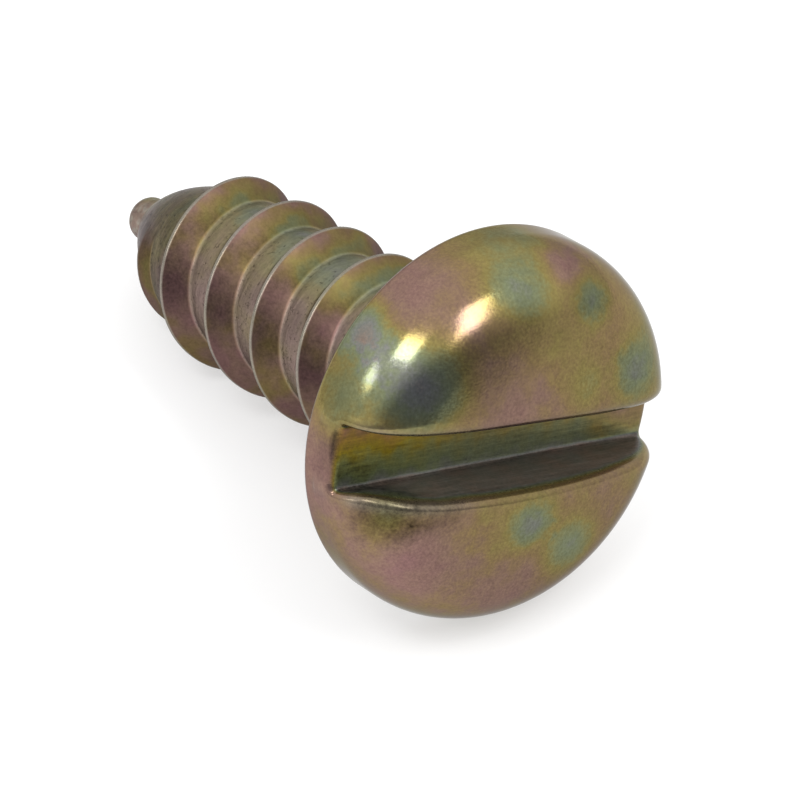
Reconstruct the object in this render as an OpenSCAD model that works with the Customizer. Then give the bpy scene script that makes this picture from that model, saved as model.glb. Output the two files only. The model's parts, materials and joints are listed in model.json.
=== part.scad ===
// Self-tapping screw with a slotted pan head, cold-formed in one piece.
//
// The screw is drawn upright first: the axis of its head is Z, the underside
// of the head is z = 0, the head is above it and the shank below. It is then
// laid down as it comes to rest, on the rim of its head and on the crest of
// its thread. As it lies, +Z is up, the head is at +X and the point at -X. The
// origin is on the surface below, under the middle of the outline.

/* [Head] */
// Diameter of the head
head_d = 6.8; // [6.5:0.05:7.1]
// Height of the head above its underside, at the middle of the dome
head_h = 2.18; // [2.1:0.02:2.4]
// Radius of the flat dome on top of the head
dome_r = 10; // [9:0.5:14]
// Radius of the round shoulder between the dome and the side
shoulder_r = 1.34; // [1.2:0.02:1.4]
// Radius of the edge round the underside
rim_r = 0.18; // [0.1:0.02:0.24]

/* [Slot] */
// Width of the driving slot
slot_w = 1.17; // [1:0.01:1.3]
// Depth of the slot below the top of the dome
slot_depth = 1.36; // [1.1:0.02:1.5]

/* [Shank] */
// Length from the underside of the head to the end of the point
shank_len = 10.1; // [9.5:0.1:11]
// Diameter at the root of the thread
root_d = 2.76; // [2.6:0.02:2.9]
// Diameter at which the fillet under the head runs out into the underside
neck_d = 3.68; // [3.6:0.02:4.1]
// Length of the taper from the full root to the nub
taper_len = 2.5; // [2.3:0.1:2.8]
// Diameter of the blunt nub at the end of the point
nub_d = 0.84; // [0.8:0.02:0.9]
// Length of the nub
nub_len = 0.56; // [0.5:0.02:0.6]
// Radius of the edge at the end of the nub
nub_edge_r = 0.28; // [0.2:0.02:0.34]

/* [Thread] */
// Outside diameter of the thread
thread_d = 3.46; // [3.4:0.02:3.6]
// Distance from one crest to the next, along the axis
pitch = 1.41; // [1.38:0.01:1.46]
// Width of the thread where it meets the root, along the axis
ridge_w = 0.86; // [0.8:0.02:0.92]
// Width of the narrow land along the crest
crest_w = 0.1; // [0.08:0.01:0.12]
// Distance from the underside of the head to the end of the thread
thread_gap = 0.8; // [0.7:0.1:1.1]
// Distance from the nub to the start of the thread, along the axis
thread_start = 1.16; // [1:0.02:1.3]
// Length of shank over which the thread grows from its start to full height
start_run = 1.15; // [1:0.05:1.3]
// Length of shank over which the thread dies away below the head
end_run = 0.7; // [0.6:0.1:0.9]
// Direction round the axis in which the thread would meet the head
start_angle = 222; // [0:1:359]

/* [Fit of shank and head] */
// Lean of the shank against the axis of the head
lean = 1.4; // [0.2:0.1:2]
// Direction of the lean round the axis
lean_dir = 62; // [0:1:359]
// Distance of the shank from the middle of the head, along the slot
off_centre = 0.11; // [0:0.01:0.16]

/* [Pose] */
// Turn of the screw about its own axis as it lies, away from a level slot
roll = -18; // [-25:1:25]

/* [Hidden] */
$fn = 96;

head_r = head_d / 2;
root_r = root_d / 2;
nub_r = nub_d / 2;
crest_h = (thread_d - root_d) / 2;

// Heights along the shank's own axis, from the end of the point upwards.
tip_z = -shank_len;
taper_z = tip_z + nub_len;
straight_z = taper_z + taper_len;
thread_top_z = -thread_gap;

// Centre of the dome, and centre of the shoulder that touches it from inside.
dome_c = [0, head_h - dome_r];
shoulder_x = head_r - shoulder_r;
shoulder_c = [shoulder_x, dome_c.y + sqrt((dome_r - shoulder_r) ^ 2 - shoulder_x ^ 2)];
dome_angle = atan2(shoulder_c.y - dome_c.y, shoulder_x);

// The taper bulges as an arc that runs smoothly into the straight shank.
taper_drop = root_r - nub_r;
bulge_r = (taper_drop ^ 2 + taper_len ^ 2) / (2 * taper_drop);

// Height by which the shank runs up into the head.
sink = 0.2;
// Depth by which the fillet under the head runs into the shank, to cross it cleanly.
dip = 0.03;
neck_r = (neck_d - root_d) / 2 + dip;

// The shank's surface is one band, a pitch wide, wound along the thread. It is
// made of sections, this many to a turn, each across the band.
steps = 36;
foot = ridge_w / 2;
land = crest_w / 2;
flank = foot - land;
band = [
    -pitch / 2, -(foot + pitch / 2) / 2, -foot, -land - flank * 0.6, -land - flank * 0.25,
    -land, land, land + flank * 0.25, land + flank * 0.6, foot, (foot + pitch / 2) / 2
];
rows = len(band);
// The flanks are hollow: the thread rises as this power of the way up them.
hollow = 1.7;
// Share of the full height at which the thread starts, and the length of the step.
step_share = 0.35;
step_run = 0.1;

// The band starts a pitch below the end of the point and stops a pitch above
// the top of the shank. What lies past either end is coiled flat on it.
coil = 1.1 * pitch;
// Rise of each end's middle above its flat.
end_rise = 0.03;
first_z = tip_z - pitch / 2;
last = ceil((sink + pitch / 2 - first_z) / pitch * steps);

// Radius of the shank, without its thread, at a height on its axis.
function core_at(z) =
    z < tip_z + nub_edge_r
    ? nub_r - nub_edge_r + sqrt(nub_edge_r ^ 2 - (tip_z + nub_edge_r - z) ^ 2)
    : z < taper_z ? nub_r
    : z < straight_z ? root_r - bulge_r + sqrt(bulge_r ^ 2 - (straight_z - z) ^ 2)
    : root_r;

// Share of the full thread height for a section, at a height on the axis. The
// thread steps up where it starts, grows from there, and dies away below the head.
function thread_share(k, z) =
    let (on = crest_z(k) - taper_z - thread_start)
    max(0, min(
        1,
        step_share * on / step_run,
        step_share + (1 - step_share) * (on - step_run) / start_run,
        (thread_top_z - z) / end_run
    ));

// Height of the thread at a distance from the middle of its crest.
function ridge_at(u) =
    crest_h * max(0, min(1, (foot - abs(u)) / flank)) ^ hollow;

// Height on the axis, and direction round it, of a section's crest.
function crest_z(k) = first_z + k * pitch / steps;
function crest_angle(k) = start_angle + 360 * crest_z(k) / pitch;

// Point of the shank's surface, at a distance along the axis from a crest.
function surface_point(k, u) =
    let (
        h = crest_z(k) + u,
        z = max(tip_z, min(sink, h)),
        flat = 1 - abs(h - z) / coil,
        r = (core_at(z) + ridge_at(u) * thread_share(k, z)) * flat
    )
    [r * cos(crest_angle(k)), r * sin(crest_angle(k)), z];

// A point of the shank, moved as the shank leans and sits on the head.
function leaned(p) =
    let (
        d = [cos(lean_dir), sin(lean_dir)],
        out = p.x * d.x + p.y * d.y,
        moved = out * cos(lean) - p.z * sin(lean)
    )
    [
        p.x + (moved - out) * d.x,
        p.y + (moved - out) * d.y + off_centre,
        out * sin(lean) + p.z * cos(lean)
    ];

// Tilt that would lay the rim of the head and one point of a crest on a level
// surface. The point that needs the least tilt is the one that is touched.
function tilt_for(p) =
    let (
        run = rim_r - p.z,
        rise = head_r - rim_r - (p.x * cos(roll) - p.y * sin(roll))
    )
    atan2(rise, run) + asin(rim_r / norm([run, rise]));

tilt = min([for (k = [steps : last - steps]) tilt_for(leaned(surface_point(k, 0)))]);

// Place along X of a point, from the middle of the head's underside, as it lies.
function lying_x(p) = (p.x * cos(roll) - p.y * sin(roll)) * sin(tilt) + p.z * cos(tilt);

// Height of the middle of the underside as the screw lies, and the outline's ends.
lift = (head_r - rim_r) * cos(tilt) - rim_r * sin(tilt) + rim_r;
nub_x = min([
    lying_x(leaned([0, 0, tip_z - end_rise])),
    for (k = [0 : 2 * steps]) each [for (u = band) lying_x(leaned(surface_point(k, u)))]
]);
dome_x = dome_c.y * cos(tilt) + dome_r;

// Points along an arc, one step after its first direction to its last.
function arc(centre, r, from, to, parts) = [
    for (i = [1 : parts])
    let (a = from + (to - from) * i / parts)
    centre + r * [cos(a), sin(a)]
];

// Half section of the head, right of its axis.
module head_outline() {
    polygon([
        [0, 0],
        [head_r - rim_r, 0],
        each arc([head_r - rim_r, rim_r], rim_r, -90, 0, 5),
        [head_r, shoulder_c.y],
        each arc(shoulder_c, shoulder_r, 0, dome_angle, 14),
        each arc(dome_c, dome_r, dome_angle, 90, 7)
    ]);
}

// Number of the point where a section meets a row of the band. The last row of
// a section is the first row of the section one turn on, where there is one.
function point_no(k, j) =
    j < rows ? k * rows + j
    : k + steps <= last ? (k + steps) * rows
    : (last + 1) * rows + k - (last - steps) - 1;

// The shank and its thread, as one closed surface.
module threaded_shank() {
    points = [
        for (k = [0 : last]) each [for (u = band) surface_point(k, u)],
        for (k = [last - steps + 1 : last]) surface_point(k, pitch / 2),
        [0, 0, tip_z - end_rise],
        [0, 0, sink + end_rise]
    ];
    sides = [
        for (k = [0 : last - 1])
        for (j = [0 : rows - 1])
        let (
            low = point_no(k, j),
            high = point_no(k, j + 1),
            next_low = point_no(k + 1, j),
            next_high = point_no(k + 1, j + 1)
        )
        each [[low, high, next_high], [low, next_high, next_low]]
    ];
    point_end = [
        for (j = [rows : -1 : 0]) point_no(0, j),
        for (k = [1 : steps - 1]) point_no(k, 0)
    ];
    head_end = [
        for (j = [0 : rows]) point_no(last, j),
        for (k = [last - 1 : -1 : last - steps + 1]) point_no(k, rows)
    ];
    caps = [
        for (i = [0 : len(point_end) - 1])
        [point_end[i], point_end[(i + 1) % len(point_end)], len(points) - 2],
        for (i = [0 : len(head_end) - 1])
        [head_end[i], head_end[(i + 1) % len(head_end)], len(points) - 1]
    ];
    polyhedron(points, concat(sides, caps), convexity = 8);
}

module head() {
    difference() {
        rotate_extrude()
            head_outline();
        translate([-slot_w / 2, -head_r, head_h - slot_depth])
            cube([slot_w, head_d, slot_depth]);
    }
}

// The fillet between the shank and the underside of the head.
module neck() {
    translate([0, off_centre, 0])
        rotate_extrude()
        polygon([
            [0, sink / 2],
            [0, -neck_r],
            [root_r - dip, -neck_r],
            each arc([neck_d / 2, -neck_r], neck_r, 180, 90, 8),
            [neck_d / 2, sink / 2]
        ]);
}

module shank() {
    translate([0, off_centre, 0])
        rotate([0, 0, lean_dir])
        rotate([0, -lean, 0])
        rotate([0, 0, -lean_dir])
        threaded_shank();
}

module screw() {
    color([0.62, 0.56, 0.40])
        translate([-(dome_x + nub_x) / 2, 0, lift])
        rotate([0, 90 - tilt, 0])
        rotate([0, 0, roll]) {
            head();
            neck();
            shank();
        }
}

screw();
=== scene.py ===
"""Self-tapping screw with a slotted pan head, in yellow-passivated zinc plate.

The screw is one cold-formed piece, so it is one mesh. Its surface is worked
out upright, in millimetres, with the axis of the head on Z and the underside
of the head at z = 0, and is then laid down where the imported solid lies.
"""

import json
import logging
from collections.abc import Callable
from dataclasses import dataclass, field
from enum import Enum
from typing import Any

import bpy
import numpy as np
from mathutils import Matrix, Quaternion, Vector


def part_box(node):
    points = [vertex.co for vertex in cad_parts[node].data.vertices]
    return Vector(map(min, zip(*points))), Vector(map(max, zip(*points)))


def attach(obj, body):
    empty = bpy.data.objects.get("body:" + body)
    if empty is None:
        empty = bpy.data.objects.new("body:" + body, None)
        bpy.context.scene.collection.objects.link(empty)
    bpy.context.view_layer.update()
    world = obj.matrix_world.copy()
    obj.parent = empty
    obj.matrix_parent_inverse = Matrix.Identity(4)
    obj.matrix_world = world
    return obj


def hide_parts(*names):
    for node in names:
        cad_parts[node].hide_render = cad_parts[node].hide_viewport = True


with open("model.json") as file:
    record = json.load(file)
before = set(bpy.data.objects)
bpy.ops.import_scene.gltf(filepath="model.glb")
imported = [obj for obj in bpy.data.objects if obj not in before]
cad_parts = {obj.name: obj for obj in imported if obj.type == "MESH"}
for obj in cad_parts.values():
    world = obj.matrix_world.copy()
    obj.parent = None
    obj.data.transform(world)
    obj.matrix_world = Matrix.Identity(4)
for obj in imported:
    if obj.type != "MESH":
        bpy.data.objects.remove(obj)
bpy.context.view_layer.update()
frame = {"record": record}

log = logging.getLogger("screw")
MM = 0.001

Array = np.ndarray
Pair = tuple[float, float]
Triple = tuple[float, float, float]
Tree = bpy.types.NodeTree
# Point numbers round the axis, and the direction of each, rising from about 0.
Ring = tuple[Array, Array]


class Mark(Enum):
    """Names of the values that the surface carries for its finish."""

    RISE = "rise"
    GROWN = "grown"
    SHANK = "shank"
    SLOT = "slot"
    LIP = "lip"


def smooth_step(low: float, high: float, value: Array) -> Array:
    """Share of the way from low to high that values have come, as 3t^2 - 2t^3."""
    t = np.clip((value - low) / (high - low), 0.0, 1.0)
    return t * t * (3.0 - 2.0 * t)


def arc(centre: Pair, radius: float, start: float, end: float, count: int) -> Array:
    """Points centre + radius (cos a, sin a), where a goes from start to end."""
    a = np.linspace(start, end, count)
    return np.array(centre) + radius * np.column_stack([np.cos(a), np.sin(a)])


def round_at(turn: Array, r: Array, z: Array) -> Array:
    """Points at directions, distances from the axis and heights."""
    return np.stack(np.broadcast_arrays(r * np.cos(turn), r * np.sin(turn), z), axis=-1)


def quads(ids: Array) -> Array:
    """Faces between the neighbours of a grid of point numbers, line by line."""
    corners = [ids[:-1, :-1], ids[1:, :-1], ids[1:, 1:], ids[:-1, 1:]]
    return np.stack(corners, axis=-1).reshape(-1, 4)


def closed(ring: Array) -> Array:
    """A ring of point numbers with its first one repeated at its end."""
    return np.concatenate([ring, ring[..., :1]], axis=-1)


def fan(hub: int, line: Array) -> Array:
    """Triangles from one point to the sides of a line of point numbers."""
    return np.stack([np.full(len(line) - 1, hub), line[:-1], line[1:]], axis=-1)


def zip_rings(outer: Ring, inner: Ring) -> Array:
    """Triangles between two rings that have different numbers of points.

    Each side of one ring is joined to the point of the other ring that has
    been reached when the middle of that side comes round.

    Args:
        outer: The ring that the triangles are turned from.
        inner: The ring that they are turned to.

    Returns:
        An array of triangles.
    """
    (out, out_turn), (back, back_turn) = outer, inner
    a, b = (
        (turn + np.append(turn[1:], turn[0] + 2.0 * np.pi)) / 2.0
        for turn in (out_turn, back_turn)
    )
    on_back = back[np.searchsorted(b, a) % len(back)]
    on_out = out[np.searchsorted(a, b) % len(out)]
    there = np.stack([out, on_back, np.roll(out, -1)], axis=-1)
    return np.concatenate([there, np.stack([on_out, back, np.roll(back, -1)], axis=-1)])


@dataclass
class Surface:
    """Points, faces and marks of a surface that grows patch by patch.

    Attributes:
        points: Patches of points so far.
        faces: Patches of faces so far, each an array of point numbers.
        marks: For each mark, its values at the points so far.
        count: Number of points so far.
    """

    points: list[Array] = field(default_factory=list)
    faces: list[Array] = field(default_factory=list)
    marks: dict[Mark, list[Array]] = field(
        default_factory=lambda: {mark: [] for mark in Mark}
    )
    count: int = 0

    def add(self, points: Array, **marks: Array | float) -> Array:
        """Adds a grid of points.

        Args:
            points: Points, with x, y and z along the last axis.
            **marks: Values for the marks, by their lower-case names.

        Returns:
            The points' numbers, in the shape of the grid.
        """
        shape = points.shape[:-1]
        size = int(np.prod(shape))
        ids = np.arange(self.count, self.count + size).reshape(shape)
        self.points.append(points.reshape(-1, 3))
        for mark in Mark:
            value = np.broadcast_to(marks.get(mark.value, 0.0), shape)
            self.marks[mark].append(value.reshape(-1))
        self.count += size
        return ids

    def join(self, faces: Array, flip: bool = False) -> None:
        """Adds faces, turned round where flip is set."""
        self.faces.append(faces[:, ::-1] if flip else faces)

    def all_points(self) -> Array:
        """Every point so far, one to a row."""
        return np.concatenate(self.points)

    def mesh(self, name: str, points: Array) -> bpy.types.Mesh:
        """Makes the mesh, smooth all over, from the points' places in metres."""
        mesh = bpy.data.meshes.new(name)
        faces = [face for patch in self.faces for face in patch.tolist()]
        mesh.from_pydata(points.tolist(), [], faces)
        for mark, values in self.marks.items():
            attribute = mesh.attributes.new(mark.value, "FLOAT", "POINT")
            numbers = np.concatenate(values).astype(np.float32)
            attribute.data.foreach_set("value", numbers)
        mesh.polygons.foreach_set("use_smooth", np.ones(len(faces), dtype=bool))
        mesh.update()
        if mesh.validate(verbose=False):
            log.warning("%s had faces that had to be mended", name)
        return mesh


@dataclass(frozen=True)
class PanHead:
    """The slotted head: a flat dome on a round shoulder, sizes in millimetres.

    Attributes:
        radius: Radius of the side.
        height: Height of the dome above the underside.
        dome_radius: Radius of the dome.
        shoulder_radius: Radius of the shoulder.
        rim_radius: Radius of the edge round the underside.
        slot_width: Width of the slot.
        slot_depth: Depth of the slot below the dome.
        slot_corner: Radius where the slot's walls meet its floor.
        pinch: Width by which the wall at -X comes in at the slot's +Y end.
        pinch_start: Place along the slot from which it comes in.
        press: Width by which the edge of the wall at +X is pressed in.
        press_run: Places along the slot between which that grows to its full width.
        press_rise: Height above the floor at which it reaches its full width.
        lip_radius: Radius of the slot's edge at +X along the crown.
        soft_radius: Radius of the slot's edge at -X along the crown.
        soft_blend: Distance from the slot's middle within which these two blend.
        end_radius: Radius of the slot's edges where it runs out.
        run_out: Share of the head's radius past which the edges change to it.
        burr: Height to which the slot's edges are raised.
        burr_width: Width of that raised line.
        burr_set: Distance of the line's middle from the wall.
        burr_run: Places along the slot between which the line rises.
        side_height: Height on the side at which the crown's grid ends.
        side_rows: Heights of the rings between there and the rim.
        underside_radius: Radius on the underside at which the head ends.
        follow: Distance from the slot's middle within which lines follow its walls.
        lip_spread: Square of the distance from a wall over which its lip fades.
        lip_depth: Share of the slot's depth at which the lip has faded.
        rows: Number of points along each line of the crown.
    """

    radius: float = 3.4
    height: float = 2.18
    dome_radius: float = 10.0
    shoulder_radius: float = 1.34
    rim_radius: float = 0.18
    slot_width: float = 1.17
    slot_depth: float = 1.36
    slot_corner: float = 0.08
    pinch: float = 0.2
    pinch_start: float = -0.5
    press: float = 0.13
    press_run: Pair = (-1.7, -3.1)
    press_rise: float = 0.6
    lip_radius: float = 0.17
    soft_radius: float = 0.3
    soft_blend: float = 0.3
    end_radius: float = 0.16
    run_out: float = 0.72
    burr: float = 0.03
    burr_width: float = 0.15
    burr_set: float = 0.04
    burr_run: Pair = (-0.6, -2.0)
    side_height: float = 0.4
    side_rows: Pair = (0.33, 0.25)
    underside_radius: float = 2.1
    follow: float = 1.6
    lip_spread: float = 0.02
    lip_depth: float = 0.5
    rows: int = 171

    @property
    def floor(self) -> float:
        """Height of the slot's floor."""
        return self.height - self.slot_depth

    @property
    def dome_centre(self) -> float:
        """Height of the dome's centre on the axis."""
        return self.height - self.dome_radius

    @property
    def shoulder_centre(self) -> Pair:
        """Centre of the shoulder's round, which touches dome and side."""
        across = self.radius - self.shoulder_radius
        reach = self.dome_radius - self.shoulder_radius
        return across, self.dome_centre + float(np.sqrt(reach**2 - across**2))

    @property
    def shoulder_turn(self) -> float:
        """Direction, from the shoulder's centre, in which it meets the dome."""
        across, height = self.shoulder_centre
        return float(np.arctan2(height - self.dome_centre, across))

    def crown_profile(self) -> Array:
        """Share of the way, distance from the axis and height, down from the top."""
        turn = self.shoulder_turn
        dome = arc((0.0, self.dome_centre), self.dome_radius, np.pi / 2, turn, 400)
        shoulder = arc(self.shoulder_centre, self.shoulder_radius, turn, 0.0, 800)
        line = np.vstack([dome, shoulder[1:], [self.radius, self.side_height]])
        steps = np.hypot(*np.diff(line, axis=0).T)
        way = np.concatenate([[0.0], np.cumsum(steps)])
        return np.column_stack([way / way[-1], line])

    def come_in(self, x: Array, y: Array, z: Array) -> Array:
        """How far the slot's wall has come in at places across, along and up it."""
        up = np.clip((z - self.floor) / self.press_rise, 0.0, 1.0)
        return np.where(
            x < 0.0,
            self.pinch * smooth_step(self.pinch_start, self.radius, y),
            self.press * smooth_step(*self.press_run, y) * up,
        )

    def distance(self, points: Array) -> Array:
        """Distance of points from the finished head, negative inside.

        The head is the turned body less the slot, and its edges are round:
        with a and b the distances from the two walls and r the radius of the
        edge, it is min(-r, max(a, b)) + |max(a + r, 0), max(b + r, 0)|. The
        raised line along an edge adds burr exp(-(u / burr_width)^2) to the
        body, where u is the distance from the line's middle.

        Args:
            points: Points, with x, y and z along the last axis.

        Returns:
            The distances.
        """
        x, y, z = np.moveaxis(points, -1, 0)
        out = np.hypot(x, y)
        centre = self.shoulder_centre
        turn = np.arctan2(z - centre[1], out - centre[0])
        body = np.where(
            turn < 0.0,
            out - self.radius,
            np.where(
                turn < self.shoulder_turn,
                np.hypot(out - centre[0], z - centre[1]) - self.shoulder_radius,
                np.hypot(out, z - self.dome_centre) - self.dome_radius,
            ),
        )
        half = self.slot_width / 2
        aside = (np.abs(x) - half - self.burr_set) / self.burr_width
        raised = smooth_step(*self.burr_run, y)
        body = body - self.burr * np.exp(-(aside**2)) * raised
        corner = self.slot_corner
        side = np.abs(x) - (half - self.come_in(x, y, z) - corner)
        down = self.floor + corner - z
        slot = (
            np.hypot(np.maximum(side, 0.0), np.maximum(down, 0.0))
            + np.minimum(np.maximum(side, down), 0.0)
            - corner
        )
        soft = smooth_step(self.soft_blend, -self.soft_blend, x)
        r = self.lip_radius + (self.soft_radius - self.lip_radius) * soft
        ends = smooth_step(self.run_out, 1.0, np.abs(y) / self.radius)
        r = r + (self.end_radius - r) * ends
        return np.minimum(-r, np.maximum(body, -slot)) + np.hypot(
            np.maximum(body + r, 0.0), np.maximum(r - slot, 0.0)
        )

    def settle(self, points: Array, steps: int = 10) -> Array:
        """Moves near points onto the head, by p - d(p) grad d(p) / |grad d(p)|^2."""
        width, least = 1e-4, 0.25
        for _ in range(steps):
            value = self.distance(points)
            sides = [
                self.distance(points + step) - self.distance(points - step)
                for step in np.eye(3) * width
            ]
            slope = np.stack(sides, axis=-1) / (2 * width)
            size = np.maximum((slope**2).sum(-1), least)
            points = points - (value / size)[..., None] * slope
        return points

    def stations(self) -> tuple[Array, Array]:
        """Lines of the crown's grid, from one side of the head to the other.

        Returns:
            Distance of each line from the middle of the slot, and how far up
            the slot's wall it starts: 0 on the floor, 1 on the crown.
        """
        half = self.slot_width / 2
        shares = [0, 0.14, 0.28, 0.42, 0.56, 0.68, 0.78, 0.86, 0.92, 0.97]
        floor = half * np.array(shares)
        rise = np.concatenate([np.linspace(0.02, 0.8, 13), np.linspace(0.84, 0.98, 6)])
        wall = half + 0.02 * (rise - 0.5)
        beside = [0.012, 0.03, 0.05, 0.075, 0.1, 0.13, 0.165, 0.205, 0.25]
        near = half + np.array(beside)
        # The rest are spread evenly round the head, and end just short of its side.
        first = np.arcsin((near[-1] + 0.05) / self.radius)
        far = self.radius * np.sin(np.linspace(first, np.radians(88.5), 56))
        across = np.concatenate([floor, wall, near, far])
        level = np.concatenate([0.0 * floor, rise, np.ones(len(near) + len(far))])
        return (
            np.concatenate([-across[:0:-1], across]),
            np.concatenate([level[:0:-1], level]),
        )

    def build(self, surface: Surface) -> Ring:
        """Adds the head.

        A line of the crown keeps its distance c from the slot's middle. Where
        the profile's distance from the axis is r, the line is at
        y = sqrt(r^2 - c^2), and its points are spread by the way along the
        profile: w = sqrt(w_c^2 + (1 - w_c^2) t^2), t from -1 to 1.

        Args:
            surface: The surface to add it to.

        Returns:
            The ring on the underside.
        """
        way, out, height = self.crown_profile().T
        across, level = self.stations()
        t = np.linspace(-1.0, 1.0, self.rows)[None, :]
        start = np.interp(np.abs(across), out, way)[:, None]
        share = np.sqrt(start**2 + (1.0 - start**2) * t**2)
        r = np.interp(share, way, out)
        top = np.interp(share, way, height)
        c = np.broadcast_to(across[:, None], r.shape)
        y = np.sign(t) * np.sqrt(np.maximum(r**2 - c**2, 0.0))
        wall = np.clip(top - self.floor, 0.0, None)
        z = np.where(wall > 0.0, self.floor + level[:, None] * wall, top)
        half = self.slot_width / 2
        # The lines on the floor and beside the slot come in with its walls.
        follow = smooth_step(self.follow, half, np.abs(c))
        follow = np.minimum(np.abs(c) / half, follow)
        moved = c - np.sign(c) * follow * self.come_in(c, y, z)
        grid = self.settle(np.stack([moved, y, z], axis=-1))
        depth = np.interp(np.hypot(grid[..., 0], grid[..., 1]), out, height)
        sunk = np.clip((depth - grid[..., 2]) / self.slot_depth, 0.0, 1.0)
        lip = np.exp(-((np.abs(grid[..., 0]) - half) ** 2) / self.lip_spread)
        lip = lip * smooth_step(self.lip_depth, 0.0, sunk)
        ids = surface.add(grid, slot=sunk, lip=lip)
        surface.join(quads(ids))
        # The first and the last line are each folded shut about their middle.
        mid = self.rows // 2
        for edge, flip in ((ids[0], True), (ids[-1], False)):
            halves = np.stack([edge[:mid], edge[mid + 1 :][::-1]])
            surface.join(quads(halves), flip=flip)
            surface.join(edge[None, [mid - 1, mid + 1, mid]], flip=flip)
        ring = np.concatenate([ids[:, -1][::-1], ids[:, 0]])
        where = surface.all_points()[ring]
        turn = np.arctan2(where[:, 1], where[:, 0]) % (2.0 * np.pi)
        return self.skirt(surface, ring, turn)

    def skirt(self, surface: Surface, ring: Array, turn: Array) -> Ring:
        """Adds the side below the crown's grid, the rim and the underside.

        Args:
            surface: The surface to add it to.
            ring: Point numbers round the side.
            turn: Direction of each of them.

        Returns:
            The ring on the underside.
        """
        rim = (self.radius - self.rim_radius, self.rim_radius)
        inner = np.linspace(rim[0], self.underside_radius, 7)[1:]
        side = [[self.radius, height] for height in self.side_rows]
        edge = arc(rim, self.rim_radius, 0.0, -np.pi / 2, 9)
        line = np.vstack([side, edge, np.column_stack([inner, np.zeros_like(inner)])])
        points = round_at(turn, line[:, :1], line[:, 1:])
        ids = np.concatenate([ring[None, :], surface.add(points)])
        surface.join(quads(closed(ids)))
        return ids[-1], turn


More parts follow.
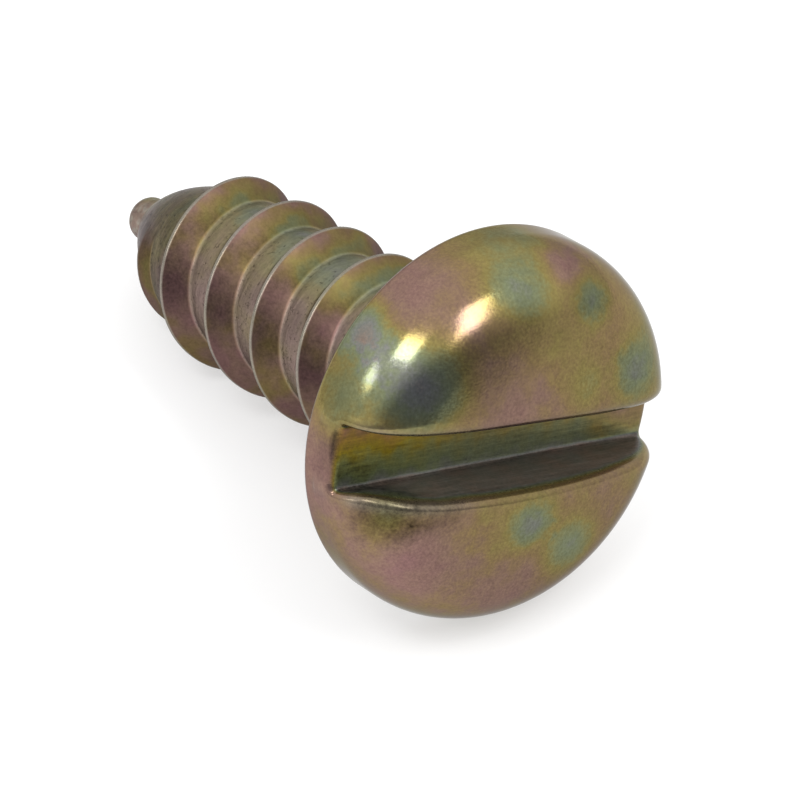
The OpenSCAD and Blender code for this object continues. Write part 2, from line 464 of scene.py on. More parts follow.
@dataclass(frozen=True)
class ThreadedShank:
    """The shank, its thread and its blunt point, sizes in millimetres.

    Attributes:
        length: Length from the underside of the head to the point's end.
        root_radius: Radius at the root of the thread.
        neck_radius: Radius at which the fillet meets the head's underside.
        taper_length: Length of the taper from full root to nub.
        nub_radius: Radius of the blunt nub.
        nub_length: Length of the nub.
        nub_edge: Radius of the nub's end edge.
        nub_row: Distance from the nub's top to its last level ring.
        end_rows: Shares of the flat end's radius at which it has rings.
        thread_radius: Radius at the crest of the thread.
        pitch: Distance from crest to crest.
        ridge_width: Width of the thread at its root.
        crest_width: Width of the land along its crest.
        hollow: Power by which the flanks are hollow.
        gap: Distance from the head at which the thread has died away.
        thread_start: Distance from the nub to the start of the thread.
        step_share: Share of its full height to which the thread steps up there.
        step_run: Length of that step.
        start_run: Length over which the thread then grows to its full height.
        end_run: Length over which the thread dies away.
        start_angle: Direction in which the crest would meet z = 0, in degrees.
        lean: Lean of the shank, in degrees.
        lean_direction: Direction of the lean, in degrees.
        off_centre: Distance of the shank from the head's axis, along the slot.
        level_run: Length below the head in which its rings come to lie level.
        plain: Length by which the band runs on past the nub's top and the thread.
        pressed: Lengths to which the band's first and last turns are pressed.
        steps: Number of sections to a turn.
    """

    length: float = 10.1
    root_radius: float = 1.38
    neck_radius: float = 1.84
    taper_length: float = 2.5
    nub_radius: float = 0.42
    nub_length: float = 0.56
    nub_edge: float = 0.28
    nub_row: float = 0.24
    end_rows: Pair = (0.4, 0.75)
    thread_radius: float = 1.73
    pitch: float = 1.41
    ridge_width: float = 0.86
    crest_width: float = 0.05
    hollow: float = 1.2
    gap: float = 0.8
    thread_start: float = 1.16
    step_share: float = 0.35
    step_run: float = 0.1
    start_run: float = 1.15
    end_run: float = 0.7
    start_angle: float = 222.0
    lean: float = 1.4
    lean_direction: float = 62.0
    off_centre: float = 0.11
    level_run: float = 0.8
    plain: float = 0.02
    pressed: Pair = (0.2, 0.12)
    steps: int = 128

    @property
    def nub_top(self) -> float:
        """Height of the top of the nub."""
        return self.nub_length - self.length

    def core(self, z: Array) -> Array:
        """Radius of the shank, without its thread, at heights on its axis.

        The taper is an arc that runs smoothly into the straight shank: where it
        drops by d over its length l, its radius is (d^2 + l^2) / 2d.
        """
        drop, length = self.root_radius - self.nub_radius, self.taper_length
        bulge = (drop**2 + length**2) / (2.0 * drop)
        below = np.clip(self.nub_top + length - z, 0.0, length)
        return self.root_radius - bulge + np.sqrt(bulge**2 - below**2)

    def grown(self, crest: Array, z: Array) -> Array:
        """Share of the thread's full height.

        Args:
            crest: Heights on the axis of the crest, section by section.
            z: Heights on the axis of the points themselves.

        Returns:
            The shares. They step up where the thread starts, grow from there,
            and die away below the head.
        """
        on = crest - self.nub_top - self.thread_start
        step = self.step_share * on / self.step_run
        grow = (1.0 - self.step_share) * (on - self.step_run) / self.start_run
        start = np.minimum(step, self.step_share + grow)
        return np.clip(np.minimum(start, (-self.gap - z) / self.end_run), 0.0, 1.0)

    def rise(self, across: Array) -> Array:
        """Share of the thread's height at distances from the middle of its crest.

        It is ((f - |u|) / (f - l))^hollow, held between 0 and 1, where u is the
        distance, f the half width of the thread's foot and l that of its land.
        """
        foot, land = self.ridge_width / 2, self.crest_width / 2
        share = np.clip((foot - np.abs(across)) / (foot - land), 0.0, 1.0)
        return share**self.hollow

    def rows(self) -> Array:
        """Distances from the crest of the rows across one pitch."""
        foot, land, half = self.ridge_width / 2, self.crest_width / 2, self.pitch / 2
        shares = np.array([0.06, 0.14, 0.24, 0.35, 0.47, 0.6, 0.74, 0.88, 1])
        flank = land + (foot - land) * shares
        root = np.linspace(foot, half, 6)[1:]
        side = np.concatenate([[0.0, land * 0.6, land], flank, root])
        return np.concatenate([-side[:0:-1], side[:-1]])

    def lean_over(self, points: Array) -> Array:
        """Moves points as the shank leans, with its neck level on the head.

        A point moves along the lean by -z sin(lean), and along the axis by the
        distance out along the lean times sin(lean), which fades out at the neck.
        """
        lean, turn = np.radians(self.lean), np.radians(self.lean_direction)
        away = np.array([np.cos(turn), np.sin(turn), 0.0])
        out = points @ away
        z = points[..., 2]
        cos, sin = np.cos(lean), np.sin(lean)
        moved = points + (out * (cos - 1.0) - z * sin)[..., None] * away
        fade = smooth_step(0.0, -self.level_run, z)
        moved[..., 2] = z * (1.0 + (cos - 1.0) * fade) + out * sin * fade
        moved[..., 1] += self.off_centre
        return moved

    def build(self, surface: Surface) -> Ring:
        """Adds the shank, from the end of its point to its neck.

        The threaded part is one band, a pitch wide, wound round the axis: its
        last row is its first row one turn on. Its first and its last turn have
        no thread, and are pressed together along the axis, so that they meet
        the level rings of the point and of the neck.

        Args:
            surface: The surface to add it to.

        Returns:
            The ring at the neck.
        """
        n, pitch = self.steps, self.pitch
        across = self.rows()
        low, high = self.nub_top - self.plain, -self.gap + self.plain
        first = low - pitch / 2
        last = int(np.ceil((high + pitch / 2 - first) / pitch * n))
        k = np.arange(last + 1)
        crest = first + k * pitch / n
        turn = np.radians(self.start_angle) + 2.0 * np.pi * crest / pitch
        edge = crest[last] - pitch / 2
        h = crest[:, None] + across[None, :]
        # Places along the axis at the ends of the band, and where they come to lie.
        below, above = self.pressed
        ends = (
            [low - pitch, low, edge, edge + pitch],
            [low - below, low, edge, edge + above],
        )

        def laid(h: Array, across: Array, turn: Array) -> Array:
            """Points of the leaning band, at places along it before it is pressed."""
            z = np.interp(h, *ends)
            full = self.thread_radius - self.root_radius
            r = self.core(z) + full * self.grown(h - across, z) * self.rise(across)
            return self.lean_over(round_at(turn, r, z))

        band = surface.add(
            laid(h, across[None, :], turn[:, None]),
            rise=self.rise(across[None, :]),
            grown=self.grown(crest[:, None], np.interp(h, *ends)),
            shank=1.0,
        )
        top = np.arange(last - n + 1, last + 1)
        half = np.full(n, pitch / 2)
        upper = surface.add(laid(crest[top] + half, half, turn[top]), shank=1.0)
        next_turn = np.concatenate([band[n:, 0], upper])
        ids = np.concatenate([band, next_turn[:, None]], axis=1)
        surface.join(quads(ids))
        neck = self.neck_rings(surface, upper, ids[last], turn[top])
        self.point_rings(surface, ids, turn)
        return neck

    def ring_stack(
        self, surface: Surface, line: Array, turn: Array, shank: Array | float = 1.0
    ) -> Array:
        """Adds level rings of the shank.

        Args:
            surface: The surface to add them to.
            line: Rows of distance from the axis and height, one to a ring.
            turn: Directions of the points of each ring.
            shank: Share of the shank's finish, for each ring.

        Returns:
            The rings' point numbers, one row to a ring.
        """
        points = round_at(turn[None, :], line[:, :1], line[:, 1:])
        ids = surface.add(self.lean_over(points), shank=shank)
        surface.join(quads(closed(ids)), flip=True)
        return ids

    def neck_rings(
        self, surface: Surface, upper: Array, seam: Array, turn: Array
    ) -> Ring:
        """Adds the level rings from the thread's end to the head's underside.

        Args:
            surface: The surface to add them to.
            upper: Point numbers along the band's open upper edge.
            seam: Point numbers of the band's last section, upwards.
            turn: Directions of the upper edge's points.

        Returns:
            The last ring.
        """
        fillet = self.neck_radius - self.root_radius
        line = arc((self.neck_radius, -fillet), fillet, np.pi, np.pi / 2, 11)
        fade = np.linspace(1.0, 0.0, len(line))[:, None]
        rings = self.ring_stack(surface, line, turn, fade)
        low = rings[0]
        surface.join(quads(np.stack([upper, low])), flip=True)
        # A fan closes the gap beside the band's last section.
        column = np.concatenate([seam, low[-1:], low[:1]])
        surface.join(fan(upper[0], column), flip=True)
        order = np.argsort(turn % (2.0 * np.pi))
        return rings[-1][order], (turn % (2.0 * np.pi))[order]

    def point_rings(self, surface: Surface, ids: Array, turn: Array) -> None:
        """Adds the level rings of the nub and closes its end.

        Args:
            surface: The surface to add them to.
            ids: Point numbers of the band, one row to a section.
            turn: Directions of the sections.
        """
        n = self.steps
        end = -self.length
        middle = (self.nub_radius - self.nub_edge, end + self.nub_edge)
        edge = arc(middle, self.nub_edge, -np.pi / 2, 0.0, 10)
        flat = [[share * edge[0, 0], end] for share in self.end_rows]
        line = np.vstack([flat, edge, [self.nub_radius, self.nub_top - self.nub_row]])
        rings = self.ring_stack(surface, line, turn[:n])
        low, lower = rings[-1], ids[:n, 0]
        surface.join(quads(np.stack([low, lower])), flip=True)
        # A fan closes the gap beside the band's first section.
        column = np.concatenate([low[-1:], low[:1], ids[0]])
        surface.join(fan(lower[-1], column))
        hub = surface.add(self.lean_over(np.array([[0.0, 0.0, end]])), shank=1.0)
        surface.join(fan(hub[0], closed(rings[0])), flip=True)


def operation(name: str, swapped: bool = False) -> Callable[["Shade", Any], "Shade"]:
    """Operator of a Shade that adds a Math node, with its values swapped or not."""

    def operator(self: "Shade", other: "Shade | float") -> "Shade":
        """Adds the node."""
        return self.maths(name, *((other, self) if swapped else (self, other)))

    return operator


class Shade:
    """A socket of a node tree, on which shader maths is written as Python.

    Attributes:
        tree: The tree that the maths is added to.
        socket: The output socket that is wrapped.
    """

    def __init__(self, tree: Tree, socket: bpy.types.NodeSocket) -> None:
        """Wraps an output socket of a tree."""
        self.tree = tree
        self.socket = socket

    def maths(self, name: str, *values: "Shade | float") -> "Shade":
        """Adds a Math node for an operation on values."""
        return add_node(self.tree, "Math", dict(enumerate(values)), operation=name)

    def __abs__(self) -> "Shade":
        """This without its sign."""
        return self.maths("ABSOLUTE", self)

    __add__ = __radd__ = operation("ADD")
    __mul__ = __rmul__ = operation("MULTIPLY")
    __sub__, __rsub__ = operation("SUBTRACT"), operation("SUBTRACT", swapped=True)
    __truediv__, __pow__ = operation("DIVIDE"), operation("POWER")

    def between(self, low: float, high: float) -> "Shade":
        """Smooth share of the way from low, where it is 0, to high, where it is 1."""
        inputs = {"Value": self, "From Min": low, "From Max": high}
        return add_node(self.tree, "MapRange", inputs, interpolation_type="SMOOTHSTEP")

    def towards(self, other: "Shade", share: "Shade") -> "Shade":
        """This, moved by a share of the way to other."""
        return self + share * (other - self)

    def vector(self, name: str, other: Triple) -> "Shade":
        """Number that a Vector Math node makes of this vector and another."""
        inputs = {0: self, 1: other}
        return add_node(self.tree, "VectorMath", inputs, "Value", operation=name)

    def mixed(self, low: "Shade | tuple", high: "Shade | tuple") -> "Shade":
        """Colour from low, where this is 0, to high, where it is 1."""
        inputs = {0: self, 6: low, 7: high}
        return add_node(self.tree, "Mix", inputs, 2, data_type="RGBA")


def add_node(
    tree: Tree,
    kind: str,
    inputs: dict[str | int, Any] | None = None,
    output: str | int = 0,
    **settings: str,
) -> Shade:
    """Adds a node to a tree.

    Args:
        tree: The tree.
        kind: Type of the node, after the ShaderNode that each begins with.
        inputs: Values or links for its sockets, by name or number.
        output: Name or number of the output to return.
        **settings: Its settings, which are set first.

    Returns:
        The output, wrapped.
    """
    node = tree.nodes.new("ShaderNode" + kind)
    for name, value in settings.items():
        setattr(node, name, value)
    for key, value in (inputs or {}).items():
        socket = node.inputs[key]
        if isinstance(value, Shade):
            tree.links.new(value.socket, socket)
        elif isinstance(value, tuple) and len(value) == 3 and socket.type == "RGBA":
            socket.default_value = (*value, 1.0)
        else:
            socket.default_value = value
    return Shade(tree, node.outputs[output])


def put_out(surface: Shade, kind: str = "OutputMaterial") -> None:
    """Links a shader to an output node of its tree."""
    node = surface.tree.nodes.new("ShaderNode" + kind)
    surface.tree.links.new(surface.socket, node.inputs["Surface"])


def empty_tree(owner: bpy.types.Material | bpy.types.World) -> Tree:
    """Gives a material or a world a node tree with nothing in it."""
    owner.use_nodes = True
    owner.node_tree.nodes.clear()
    return owner.node_tree


def add_object(name: str, data: bpy.types.ID) -> bpy.types.Object:
    """Adds an object to the scene."""
    made = bpy.data.objects.new(name, data)
    bpy.context.scene.collection.objects.link(made)
    return made


@dataclass(frozen=True)
class Tint:
    """A patch where the chromate film is thicker or thinner than around it, and where
    the plate can be darker or lighter.

    Attributes:
        place: Middle of the patch on the upright screw, in millimetres.
        size: Radius of the patch, in millimetres.
        shift: What the patch adds to the film's thickness.
        painted_shade_and_tone: Share by which the patch is darker; on some patches this
            is painted shade.
    """

    place: Triple
    size: float
    shift: float
    painted_shade_and_tone: float = 0.0


@dataclass(frozen=True)
class YellowZinc:
    """Zinc plate under a yellow chromate film, in soft patches of interference.

    The colour of the film goes with its thickness, from rose through salmon,
    tan, yellow, olive, teal and blue grey to a second, duller rose.

    Attributes:
        film: Thickness and colour of each stop of the film's colour.
        rest: Thickness of the film on the head where nothing changes it.
        shank_rest: Thickness of the film on the shank.
        wander: Change of the thickness over a millimetre or two.
        ripple: Change of the thickness over a few tenths.
        tints: Patches of thicker and thinner film on the head.
        grain: Share by which the fine grain lightens and darkens the plate.
        dome_painted_shade: Painted shade by which the flat dome is darker than the
            shoulder.
        flank_painted_shade: Share of painted shade by which the thread's flanks are
            darker.
        bare_and_sheen: Colour of the zinc where the film has come off, which on the
            slot's edge is also a painted highlight.
        edge_tint: Colour of the plate where it is seen edge on.
        polish: Roughness of the shoulder.
        dome_rough: Roughness of the dome beyond that of the shoulder.
        tooth: Roughness of the thread.
        slot_soil: Share of the metal that dull soil hides in the slot.
        edge_soil: Share of the metal that it hides on the slot's edge.
        slot_rich: Share by which the film's colour is fuller on the slot's floor.
        relief: Height of the fine relief, in metres.
    """

    film: tuple[tuple[float, Triple], ...] = (
        (0.0, (0.245, 0.137, 0.127)),
        (0.2, (0.25, 0.157, 0.118)),
        (0.38, (0.245, 0.17, 0.08)),
        (0.55, (0.245, 0.198, 0.07)),
        (0.68, (0.205, 0.205, 0.098)),
        (0.82, (0.185, 0.206, 0.12)),
        (1.0, (0.182, 0.186, 0.168)),
        (1.25, (0.225, 0.162, 0.13)),
    )
    rest: float = 0.4
    shank_rest: float = 0.22
    wander: float = 0.35
    ripple: float = 0.35
    tints: tuple[Tint, ...] = (
        Tint((-2.9, -0.7, 1.6), 0.5, 0.3),
        Tint((-2.8, -0.2, 1.7), 0.5, 0.12),
        Tint((-3.0, -1.2, 1.3), 0.9, 0.15),
        Tint((-3.4, -0.3, 0.7), 1.0, 0.25),
        Tint((-2.6, 0.9, 1.8), 0.4, 0.47, 0.05),
        Tint((-3.1, 0.5, 1.4), 0.4, -0.3),
        Tint((-3.3, 0.8, 0.9), 0.6, -0.15),
        Tint((-2.8, -1.8, 0.9), 1.2, -0.3),
        Tint((-2.0, -2.7, 0.4), 0.5, 0.7, -0.12),
        Tint((-1.8, -2.8, 1.0), 0.5, 0.3, -0.2),
        Tint((-1.0, -3.2, 0.7), 0.7, 0.4),
        Tint((-1.2, 1.9, 1.9), 0.55, 0.45, 0.1),
        Tint((-1.2, 0.8, 2.0), 0.4, 0.25),
        Tint((-1.5, 2.7, 1.4), 1.0, 0.2),
        Tint((-1.1, -0.6, 2.1), 0.9, -0.22),
        Tint((-1.9, 0.3, 2.0), 1.0, 0.1),
        # Partly thicker film, partly a painted cool tint for the dark reflection along
        # the shoulder.
        Tint((-1.5, -2.45, 1.7), 0.8, 0.6, 0.05),
        Tint((-2.7, 0.1, 1.8), 0.4, 0.0, -0.3),
        Tint((1.2, 0.0, 2.1), 0.45, 0.5),
        Tint((1.8, 1.0, 2.0), 0.6, 0.5, -0.1),
        Tint((1.4, -1.0, 2.0), 1.0, 0.15),
        Tint((1.6, -2.1, 1.8), 1.2, -0.4),
        Tint((0.4, -3.4, 0.5), 1.0, -0.35),
        Tint((2.4, -0.3, 1.9), 0.9, -0.22),
        Tint((1.1, 1.9, 1.9), 0.8, -0.1),
        # Painted reflection: a dark patch, with thicker film, beside the slot's edge at
        # +X, near its -Y end.
        Tint((0.8, -2.75, 1.55), 0.55, 0.3, 0.62),
        # Painted shade beside the slot's edge at +X.
        Tint((0.74, -1.9, 1.9), 0.4, 0.1, 0.25),
        # Painted shade where the slot's floor runs out at its -Y end.
        Tint((0.0, -3.2, 0.9), 0.6, 0.0, 0.35),
    )
    grain: float = 0.65
    dome_painted_shade: float = 0.2
    flank_painted_shade: float = 0.58
    bare_and_sheen: Triple = (0.33, 0.32, 0.27)
    edge_tint: Triple = (0.6, 0.6, 0.61)
    polish: float = 0.17
    dome_rough: float = 0.05
    tooth: float = 0.36
    slot_soil: float = 0.5
    edge_soil: float = 0.3
    slot_rich: float = 0.32
    relief: float = 4.5e-6

    def make(self, turn: Array, place: Array) -> bpy.types.Material:
        """Makes the material of the screw that lies with a turn, at a place."""
        material = bpy.data.materials.new("zinc_plate_yellow")
        put_out(Plate(self, empty_tree(material), turn, place).surface())
        return material


class Plate:
    """The nodes of a finish. Where a value is a share, it is 0 outside its region.

    Attributes:
        look: The finish.
        tree: The tree of the nodes.
        where: Place on the upright screw, in millimetres.
        x, y, z: Parts of it: across the slot, along the slot and up the axis.
        rise, grown, shank, slot, lip: The marks that the surface carries.
        broad, mid, mottle, fine: Noise about 0, from its longest waves down.
        dome: Share of the flat dome.
        sunk, wall, far_end: Shares of the slot, of its walls and of its +Y end.
        edge, wear_and_sheen: Shares of the edge above the slot, and of its rubbed part,
            which is partly a painted highlight.
        top: Share of the shank's upper side as the screw lies.
        root, foot, flank, crest: Shares of the thread, from the root outwards.
        tip: Share of the shank's blunt end.
        pits, seams: Pits and rolling marks on the root.
        hammered: Dents on the blunt end.
        scratches: Scratches along the slot.
    """

    def __init__(self, look: YellowZinc, tree: Tree, turn: Array, place: Array) -> None:
        """Adds the nodes that more than one part of the finish reads.

        Args:
            look: The finish.
            tree: The tree to add them to.
            turn: Turn of the screw from upright to as it lies, as a matrix.
            place: Place of the upright screw's origin as it lies, in millimetres.
        """
        self.look = look
        self.tree = tree
        back = Matrix(turn.T.tolist())
        inputs = {
            "Vector": add_node(tree, "TexCoord", output="Object"),
            "Location": tuple(back @ Vector((-place).tolist())),
            "Rotation": tuple(back.to_euler()),
            "Scale": (1 / MM, 1 / MM, 1 / MM),
        }
        self.where = add_node(tree, "Mapping", inputs)
        self.x, self.y, self.z = x, y, z = [
            add_node(tree, "SeparateXYZ", {0: self.where}, output=axis)
            for axis in range(3)
        ]
        self.rise, self.grown, self.shank, self.slot, self.lip = [
            add_node(tree, "Attribute", output="Fac", attribute_name=mark.value)
            for mark in Mark
        ]
        self.broad, self.mid = self.noise(0.55), self.noise(2.4, 3.0)
        self.mottle, self.fine = self.noise(7.0), self.noise(20.0, 2.0, 0.6)
        self.dome = z.between(1.5, 1.95)
        self.sunk = self.slot.between(0.08, 0.3)
        self.wall = self.sunk * abs(x).between(0.5, 0.57)
        self.far_end = y.between(1.4, 2.8)
        self.edge = self.lip * (1 - self.sunk)
        # Rubbed zinc on the slot's edge near its -Y end, partly a painted highlight
        # along it.
        self.wear_and_sheen = self.edge * y.between(-0.8, -2.2) * z.between(0.9, 1.3)
        self.top = x.between(-0.9, -1.6)
        rise, thread = self.rise, self.grown.between(0.0, 0.3)
        self.crest = rise.between(0.93, 1.0) * self.grown
        self.flank = rise.between(0.0, 0.12) * thread * (1 - self.crest)
        self.foot = rise.between(0.0, 0.02) * (1 - rise.between(0.03, 0.09)) * thread
        self.root = self.shank * (1 - rise.between(0.0, 0.08) * thread)
        self.tip = self.shank * z.between(-8.2, -9.0)
        self.pits = self.root * self.noise(13.0, 3.0, 0.7).between(0.05, 0.28)
        self.seams = self.root * self.noise(13.0, 3.0, 0.6, (0.12, 0.12, 1.0))
        self.hammered = self.tip * self.noise(4.0, 4.0, 0.6)
        self.scratches = self.sunk * self.noise(16.0, 3.0, 0.6, (1.0, 0.08, 1.0))

    def noise(
        self,
        scale: float,
        detail: float = 2.0,
        rough: float = 0.5,
        keep: Triple = (1.0, 1.0, 1.0),
    ) -> Shade:
        """Smooth noise about 0.

        Args:
            scale: Number of waves to a millimetre.
            detail: Number of times that finer waves are added.
            rough: Strength of each finer wave beside the one before.
            keep: Share of the waves that stays along x, y and z.
        """
        inputs = {"Vector": self.where, "Scale": keep}
        along = add_node(self.tree, "Mapping", inputs)
        inputs = {"Vector": along, "Scale": scale, "Detail": detail, "Roughness": rough}
        return add_node(self.tree, "TexNoise", inputs) - 0.5

    def film(self) -> tuple[Shade, Shade]:
        """Thickness of the film, and the share by which the head is darker: painted
        shade on the dome and on some patches, and tone.
        """
        look, x, mid = self.look, self.x, self.mid
        film = self.broad * look.wander + mid * look.ripple
        film = film + self.fine * 0.15 + look.rest
        # Painted shade on the flat dome, for the dim reflection that it shows.
        painted_shade_and_tone = self.dome * look.dome_painted_shade
        for tint in look.tints:
            away = self.where.vector("DISTANCE", tint.place)
            near = (away + mid * 0.6 + self.mottle * 0.25).between(tint.size * 1.6, 0.0)
            film = film + near * tint.shift
            # Some patches darken the plate as painted shade, others change its tone.
            if tint.painted_shade_and_tone:
                painted_shade_and_tone = painted_shade_and_tone + near * tint.painted_shade_and_tone
        on_floor = 0.58 + x * 0.65 + mid * 0.5 - self.far_end * 0.25
        in_slot = on_floor.towards(1.15 + mid * 0.4, self.wall)
        on_shank = (
            self.noise(1.1) * 1.4
            + mid * 0.5
            + x.between(-0.5, -1.5) * (1 - self.rise) * 0.45
            + look.shank_rest
        )
        return film.towards(in_slot, self.sunk).towards(on_shank, self.shank), painted_shade_and_tone

    def tone(self, painted_shade_and_tone: Shade) -> Shade:
        """Share of its colour's brightness that the plate has, with painted light and
        shade, less a share of painted shade and tone.
        """
        look, x, y, z = self.look, self.x, self.y, self.z
        # Painted light: the flanks on the shank's upper and lower sides, as it lies,
        # are darkened less.
        lit = self.top * 0.32 + x.between(-0.1, 0.9) * 0.17
        under = self.root * (1 - self.top)
        return (
            1
            - painted_shade_and_tone
            + self.broad * 0.15
            + self.fine * look.grain * (1 - self.shank * 0.4)
            + self.mottle * 0.25
            # Painted shade on the thread's flanks, less the painted light.
            - self.flank * (look.flank_painted_shade - lit)
            - self.root * 0.15
            # Painted shade on the root away from the shank's upper side, between the
            # nub and the thread.
            - under * z.between(-7.0, -7.5) * z.between(-9.2, -8.6) * 0.4
            + self.seams * 0.6
            + self.hammered * 0.8
            # Painted highlight: a thin light line along the foot of the thread.
            + self.foot * 0.15
            - self.crest * 0.1
            # Painted shade in the slot: on its walls, on its floor at the +Y end, and
            # on its floor beside the wall at +X near the -Y end.
            - self.wall * 0.3
            - self.sunk * self.far_end * 0.25
            - self.sunk * x.between(-0.2, 0.5) * y.between(-1.6, -2.6) * 0.35
            + self.scratches * 0.8
            - self.pits * 0.4
        )

    def colour(self, film: Shade, tone: Shade) -> Shade:
        """Colour of the plate, from the film's thickness and the plate's tone."""
        look = self.look
        thickest = look.film[-1][0]
        ramp = add_node(self.tree, "ValToRGB", {"Fac": film / thickest})
        stops = ramp.socket.node.color_ramp.elements
        while len(stops) < len(look.film):
            stops.new(1.0)
        for stop, (thickness, tint) in zip(stops, look.film):
            stop.position = thickness / thickest
            stop.color = (*tint, 1.0)
        near_end = self.y.between(0.0, -2.4)
        fuller = (self.sunk - self.wall) * (near_end + 0.25) * look.slot_rich
        inputs = {"Saturation": 1 + fuller, "Color": ramp}
        rich = add_node(self.tree, "HueSaturation", inputs)
        bare_and_sheen = (
            self.crest * 0.7
            # Pale zinc on the slot's edge is partly a painted highlight.
            + self.wear_and_sheen * 0.4
            + self.root * 0.3
            + self.tip * self.mottle.between(-0.1, 0.2) * 0.4
        )
        inputs = {0: bare_and_sheen.mixed(rich, look.bare_and_sheen), "Scale": tone}
        return add_node(self.tree, "VectorMath", inputs, operation="SCALE")

    def rough(self) -> Shade:
        """Roughness of the plate."""
        look = self.look
        return (
            look.polish
            + self.fine * 0.12
            + self.dome * look.dome_rough
            + self.shank * (look.tooth - look.polish)
            + self.flank * 0.08
            + self.sunk * 0.15
            + self.wear_and_sheen * 0.1
            - self.crest * 0.1
        )

    def height(self) -> Shade:
        """Height of the fine relief, as a share of the finish's relief."""
        return (
            self.fine * 0.24
            + self.mid * 0.2 * (1 - self.shank)
            - self.pits * 1.6
            + self.seams * 1.3
            + self.hammered * 4.0
            + self.scratches * 0.8
        )

    def surface(self) -> Shade:
        """Shader of the plate."""
        look = self.look
        film, painted_shade_and_tone = self.film()
        relief = {"Strength": 1.0, "Distance": look.relief, "Height": self.height()}
        inputs = {
            "Base Color": self.colour(film, self.tone(painted_shade_and_tone)),
            "Metallic": 1 - self.sunk * look.slot_soil - self.edge * look.edge_soil,
            "Roughness": self.rough(),
            "Specular Tint": look.edge_tint,
            "Normal": add_node(self.tree, "Bump", relief),
        }
        return add_node(self.tree, "BsdfPrincipled", inputs)


@dataclass(frozen=True)
class TappingScrew:
    """The whole screw, which is one piece.

    Attributes:
        head: The head.
        shank: The shank and its thread.
        finish: The finish all over.
        roll: Turn of the screw about its axis as it lies, in degrees.
    """

    head: PanHead = field(default_factory=PanHead)
    shank: ThreadedShank = field(default_factory=ThreadedShank)
    finish: YellowZinc = field(default_factory=YellowZinc)
    roll: float = -18.0

    def placing(self) -> tuple[Array, Array]:
        """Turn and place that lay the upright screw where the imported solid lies.

        The axis of the head goes from Z to a = (ax, 0, az), the way that the
        record's bearing face points away from. The rim of the head touches
        z = 0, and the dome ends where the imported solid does.

        Returns:
            The turn, as a matrix, and the place of the origin, in millimetres.
        """
        mounts = {mount["name"]: mount for mount in frame["record"]["mounts"]}
        ax, _, az = (-value for value in mounts["bearing_face"]["axis"])
        cos, sin = np.cos(np.radians(self.roll)), np.sin(np.radians(self.roll))
        about = [[cos, -sin, 0.0], [sin, cos, 0.0], [0.0, 0.0, 1.0]]
        down = [[az, 0.0, ax], [0.0, 1.0, 0.0], [-ax, 0.0, az]]
        head = self.head
        lift = (head.radius - head.rim_radius) * ax + head.rim_radius * (1.0 - az)
        dome_end = head.dome_centre * ax + head.dome_radius
        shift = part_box("screw")[1].x / MM - dome_end
        return np.array(down) @ np.array(about), np.array([shift, 0.0, lift])

    def build(self) -> bpy.types.Object:
        """Builds the screw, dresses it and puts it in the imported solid's place."""
        surface = Surface()
        underside = self.head.build(surface)
        surface.join(zip_rings(underside, self.shank.build(surface)))
        turn, place = self.placing()
        laid = (surface.all_points() @ turn.T + place) * MM
        mesh = surface.mesh("screw_body", laid)
        mesh.materials.append(self.finish.make(turn, place))
        piece = add_object("screw_body", mesh)
        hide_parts("screw")
        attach(piece, "root")
        log.info("%d points, %d faces", len(mesh.vertices), len(mesh.polygons))
        return piece


def direction(azimuth: float, elevation: float) -> Vector:
    """Unit vector to a place at an azimuth from -Y towards +X, and an elevation."""
    a, e = np.radians(azimuth), np.radians(elevation)
    return Vector((np.sin(a) * np.cos(e), -np.cos(a) * np.cos(e), np.sin(e)))


def aim(
    thing: bpy.types.Object, middle: Vector, away: Vector, distance: float, twist: float
) -> None:
    """Puts an object a distance away from a middle, facing it, twisted by degrees."""
    thing.location = middle + away * distance
    turn = away.to_track_quat("Z", "Y") @ Quaternion((0, 0, 1), np.radians(twist))
    thing.rotation_euler = turn.to_euler()


@dataclass(frozen=True)
class Lamp:
    """A flat lamp that faces the screw.

    Attributes:
        name: Name of the lamp.
        azimuth: Direction that it is seen in from the screw, in degrees.
        elevation: Height of it above the horizon, in degrees.
        spread: Width and height that it fills as seen from the screw, in degrees.
        twist: Turn of the lamp about the line to the screw, in degrees.
        brightness: Brightness of its face, where white paper is 1.
        distance: Distance from the screw, in metres.
    """

    name: str
    azimuth: float
    elevation: float
    spread: Pair
    twist: float
    brightness: float
    distance: float = 0.3

    def build(self, middle: Vector) -> None:
        """Adds the lamp, facing the middle of the scene."""
        data = bpy.data.lights.new(self.name, "AREA")
        data.shape = "RECTANGLE"
        half = np.tan(np.radians(self.spread) / 2)
        data.size, data.size_y = (2.0 * self.distance * half).tolist()
        data.energy = self.brightness * np.pi * data.size * data.size_y
        away = direction(self.azimuth, self.elevation)
        aim(add_object(self.name, data), middle, away, self.distance, self.twist)
        log.info("%s: %.0f by %.0f mm", self.name, data.size / MM, data.size_y / MM)


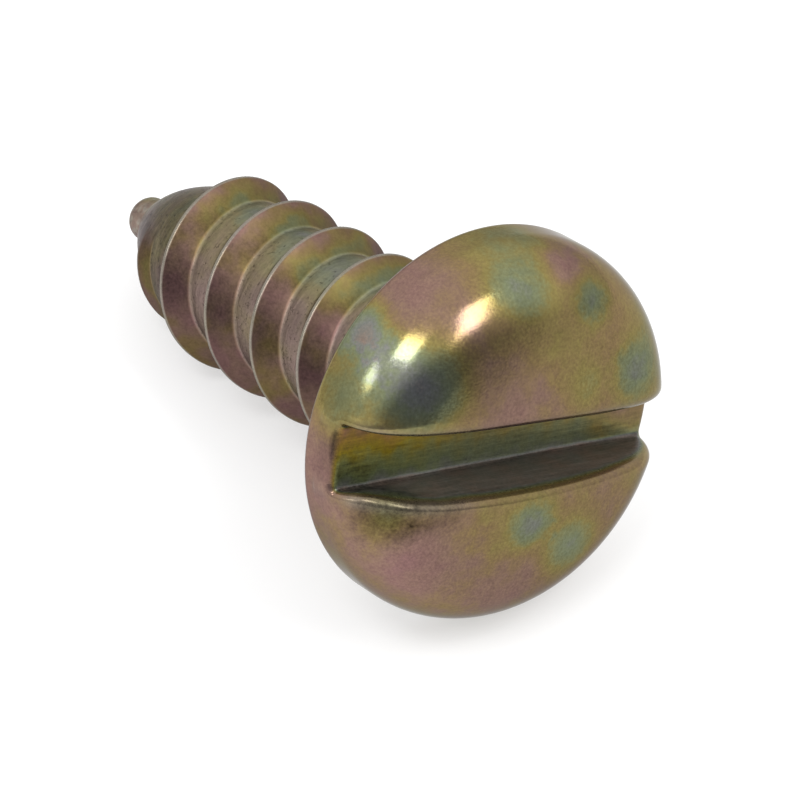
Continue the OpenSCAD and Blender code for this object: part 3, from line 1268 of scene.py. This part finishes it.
@dataclass(frozen=True)
class Studio:
    """The white floor, the soft light and the camera.

    Attributes:
        middle: Place that the camera and the lamps face, in metres.
        lens: Focal length of the camera, in millimetres.
        camera_azimuth: Direction of the camera from that place, in degrees.
        camera_elevation: Height of the camera above the horizon, in degrees.
        camera_distance: Distance of the camera, in metres.
        floor_half: Half the side of the floor, in metres.
        paper: Share of the floor's white that is lit; the rest is its own glow.
        tent: Brightness of the tent at the horizon and overhead.
        tent_rise: Upward part of a direction at which it is as bright as overhead.
        opening: Half width and half height of its opening, as parts of a direction.
        opening_edge: Values of the opening's formula between which its edge fades.
        opening_azimuth: Direction of the opening's middle, in degrees.
        shade: Colour of what shows through the opening.
        lamps: The lamps.
    """

    middle: Triple = (0.0019891, 0.0, 0.0022824)
    lens: float = 202.4
    camera_azimuth: float = 52.008
    camera_elevation: float = 42.514
    camera_distance: float = 0.077162
    floor_half: float = 0.09
    paper: float = 0.5
    tent: Pair = (0.85, 1.2)
    tent_rise: float = 0.7
    opening: Pair = (0.87, 0.79)
    opening_edge: Pair = (1.15, 0.55)
    opening_azimuth: float = 66.0
    shade: Triple = (0.34, 0.35, 0.41)
    lamps: tuple[Lamp, ...] = (
        Lamp("key_lamp", 111.0, 54.0, (16.0, 26.0), -30.0, 7.0),
        Lamp("front_lamp", 16.0, 63.0, (25.0, 13.0), 0.0, 7.0),
        Lamp("side_lamp", -18.0, 37.0, (14.0, 10.0), 0.0, 4.0),
    )

    def seen(self, tree: Tree) -> Shade:
        """1 for rays from the camera, from gloss or through glass, else 0."""
        camera, gloss, glass = (
            add_node(tree, "LightPath", output=f"Is {kind} Ray")
            for kind in ("Camera", "Glossy", "Transmission")
        )
        return add_node(tree, "Clamp", {"Value": camera + gloss + glass})

    def floor(self) -> None:
        """Adds the white floor, which keeps a soft shadow."""
        mesh = bpy.data.meshes.new("floor")
        corners = np.array([(-1, -1, 0), (1, -1, 0), (1, 1, 0), (-1, 1, 0)])
        mesh.from_pydata((corners * self.floor_half).tolist(), [], [(0, 1, 2, 3)])
        material = bpy.data.materials.new("floor_white")
        tree = empty_tree(material)
        paper = add_node(tree, "BsdfDiffuse", {"Color": (self.paper,) * 3})
        strength = self.seen(tree) * (1.0 - self.paper)
        glow = add_node(tree, "Emission", {"Color": (1.0,) * 3, "Strength": strength})
        put_out(add_node(tree, "AddShader", {0: paper, 1: glow}))
        mesh.materials.append(material)
        piece = add_object("floor", mesh)

    def world(self) -> None:
        """Lights the world as a white tent, with the grey of its opening.

        The tent grows brighter from the horizon upwards. With a the sideways
        and h the upward part of a direction, the opening's formula is
        (a / wide)^2 + (h / tall)^2, and its edge is soft about 1.
        """
        world = bpy.data.worlds.new("studio")
        bpy.context.scene.world = world
        tree = empty_tree(world)
        where = add_node(tree, "TexCoord", output="Generated")
        ahead, aside, up = (
            where.vector("DOT_PRODUCT", tuple(way))
            for way in (
                direction(self.opening_azimuth, 0.0),
                direction(self.opening_azimuth + 90.0, 0.0),
                (0.0, 0.0, 1.0),
            )
        )
        low, high = ((level,) * 3 for level in self.tent)
        wide, tall = self.opening
        ring = (aside / wide) ** 2 + (up / tall) ** 2
        through = ring.between(*self.opening_edge) * ahead.between(0.0, 0.1)
        tent = up.between(0.0, self.tent_rise).mixed(low, high)
        light = through.mixed(tent, self.shade)
        path = add_node(tree, "LightPath", output="Is Camera Ray")
        colour = path.mixed(light, (1.0,) * 3)
        back = add_node(tree, "Background", {"Color": colour})
        put_out(back, "OutputWorld")

    def camera(self) -> None:
        """Adds the camera, level and facing the middle."""
        data = bpy.data.cameras.new("camera")
        data.lens = self.lens
        data.clip_start = MM
        camera = add_object("camera", data)
        away = direction(self.camera_azimuth, self.camera_elevation)
        aim(camera, Vector(self.middle), away, self.camera_distance, 0.0)
        bpy.context.scene.camera = camera

    def build(self) -> None:
        """Builds the studio."""
        bpy.context.scene.view_settings.view_transform = "Standard"
        self.floor()
        self.world()
        for lamp in self.lamps:
            lamp.build(Vector(self.middle))
        self.camera()


def main() -> None:
    """Builds the screw and the studio."""
    logging.basicConfig(level=logging.INFO, format="%(message)s")
    TappingScrew().build()
    Studio().build()


if __name__ == "__main__":
    main()
